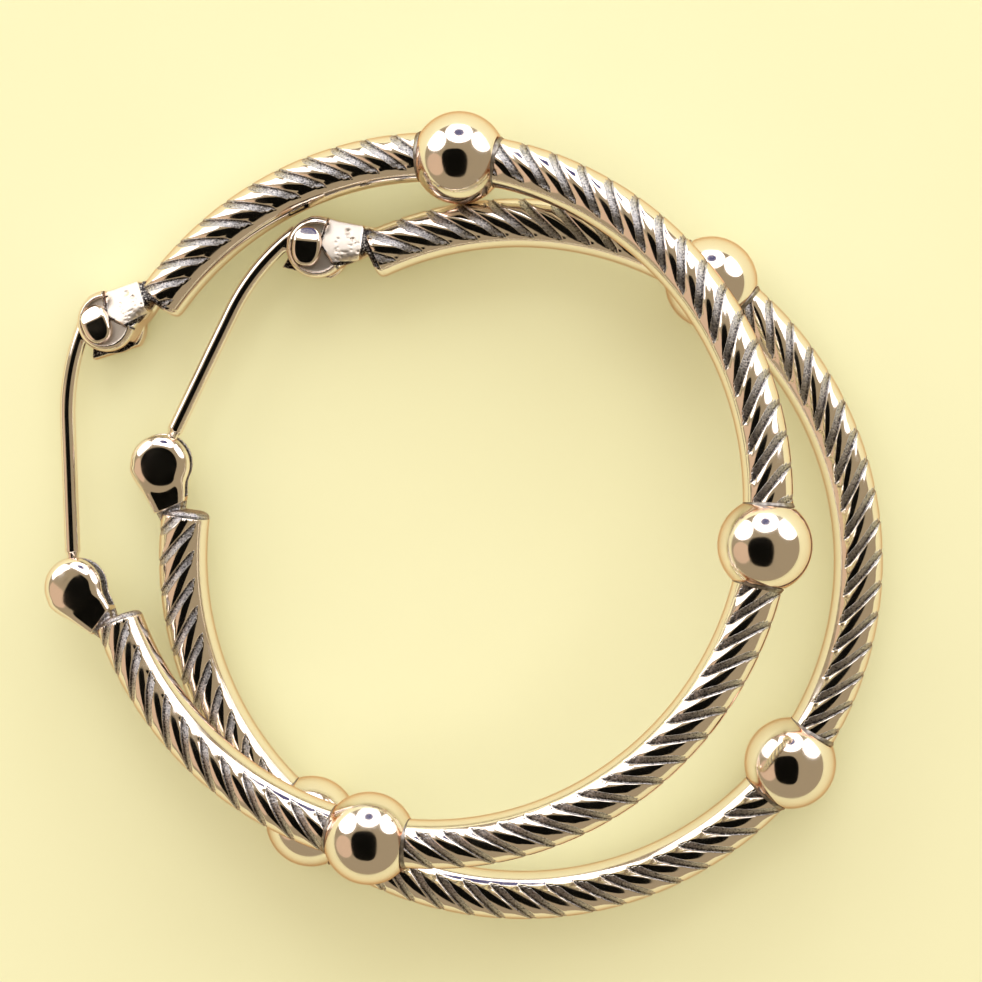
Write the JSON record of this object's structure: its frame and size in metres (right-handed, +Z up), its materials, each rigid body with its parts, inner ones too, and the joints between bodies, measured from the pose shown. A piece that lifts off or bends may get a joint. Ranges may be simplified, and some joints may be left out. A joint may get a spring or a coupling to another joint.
{
  "type": "pair of hinged hoop earrings",
  "caption": "Pair of hinged hoop earrings, rope-engraved silver tubes with polished round beads, one hoop leaning on the other.",
  "frame": {"origin": "on the surface that the pair lies on, under the middle of the pair's bounding box", "axes": "+Z up; the lower hoop's plane is square to Z; both gaps and ear wires face -X, and the lower hoop reaches furthest towards -Y"},
  "size_m": [0.0383, 0.0369, 0.0091],
  "materials": {
    "engraved_silver": "polished, with dark matte engraved grooves",
    "polished_silver": "polished",
    "rivet_silver": "polished"
  },
  "bodies": {
    "lower_hoop": {"lower_rope_1": "engraved_silver", "lower_rope_2": "engraved_silver", "lower_rope_3": "engraved_silver", "lower_rope_4": "engraved_silver", "lower_bead_1": "polished_silver", "lower_bead_2": "polished_silver", "lower_bead_3": "polished_silver", "lower_hinge_cap": "polished_silver", "lower_rivet": "rivet_silver", "lower_catch_cap": "polished_silver"},
    "lower_wire": {"lower_ear_wire": "polished_silver"},
    "upper_hoop": {"upper_rope_1": "engraved_silver", "upper_rope_2": "engraved_silver", "upper_rope_3": "engraved_silver", "upper_rope_4": "engraved_silver", "upper_bead_1": "polished_silver", "upper_bead_2": "polished_silver", "upper_bead_3": "polished_silver", "upper_hinge_cap": "polished_silver", "upper_rivet": "rivet_silver", "upper_catch_cap": "polished_silver"},
    "upper_wire": {"upper_ear_wire": "polished_silver"}
  },
  "joints": [
    {"name": "lower_wire_hinge", "type": "hinge", "parent": "lower_hoop", "child": "lower_wire", "pos_m": [-0.00651, 0.01241, 0.00208], "axis": [0, 0, 1], "range_deg": [-8, 75]},
    {"name": "upper_lift", "type": "slide", "parent": "lower_hoop", "child": "upper_hoop", "axis": [0, 0, 1], "range_m": [0, 0.03]},
    {"name": "upper_wire_hinge", "type": "hinge", "parent": "upper_hoop", "child": "upper_wire", "pos_m": [-0.01615, 0.00899, 0.00135], "axis": [-0.147, 0.1148, 0.9825], "range_deg": [-42, 8]}
  ]
}
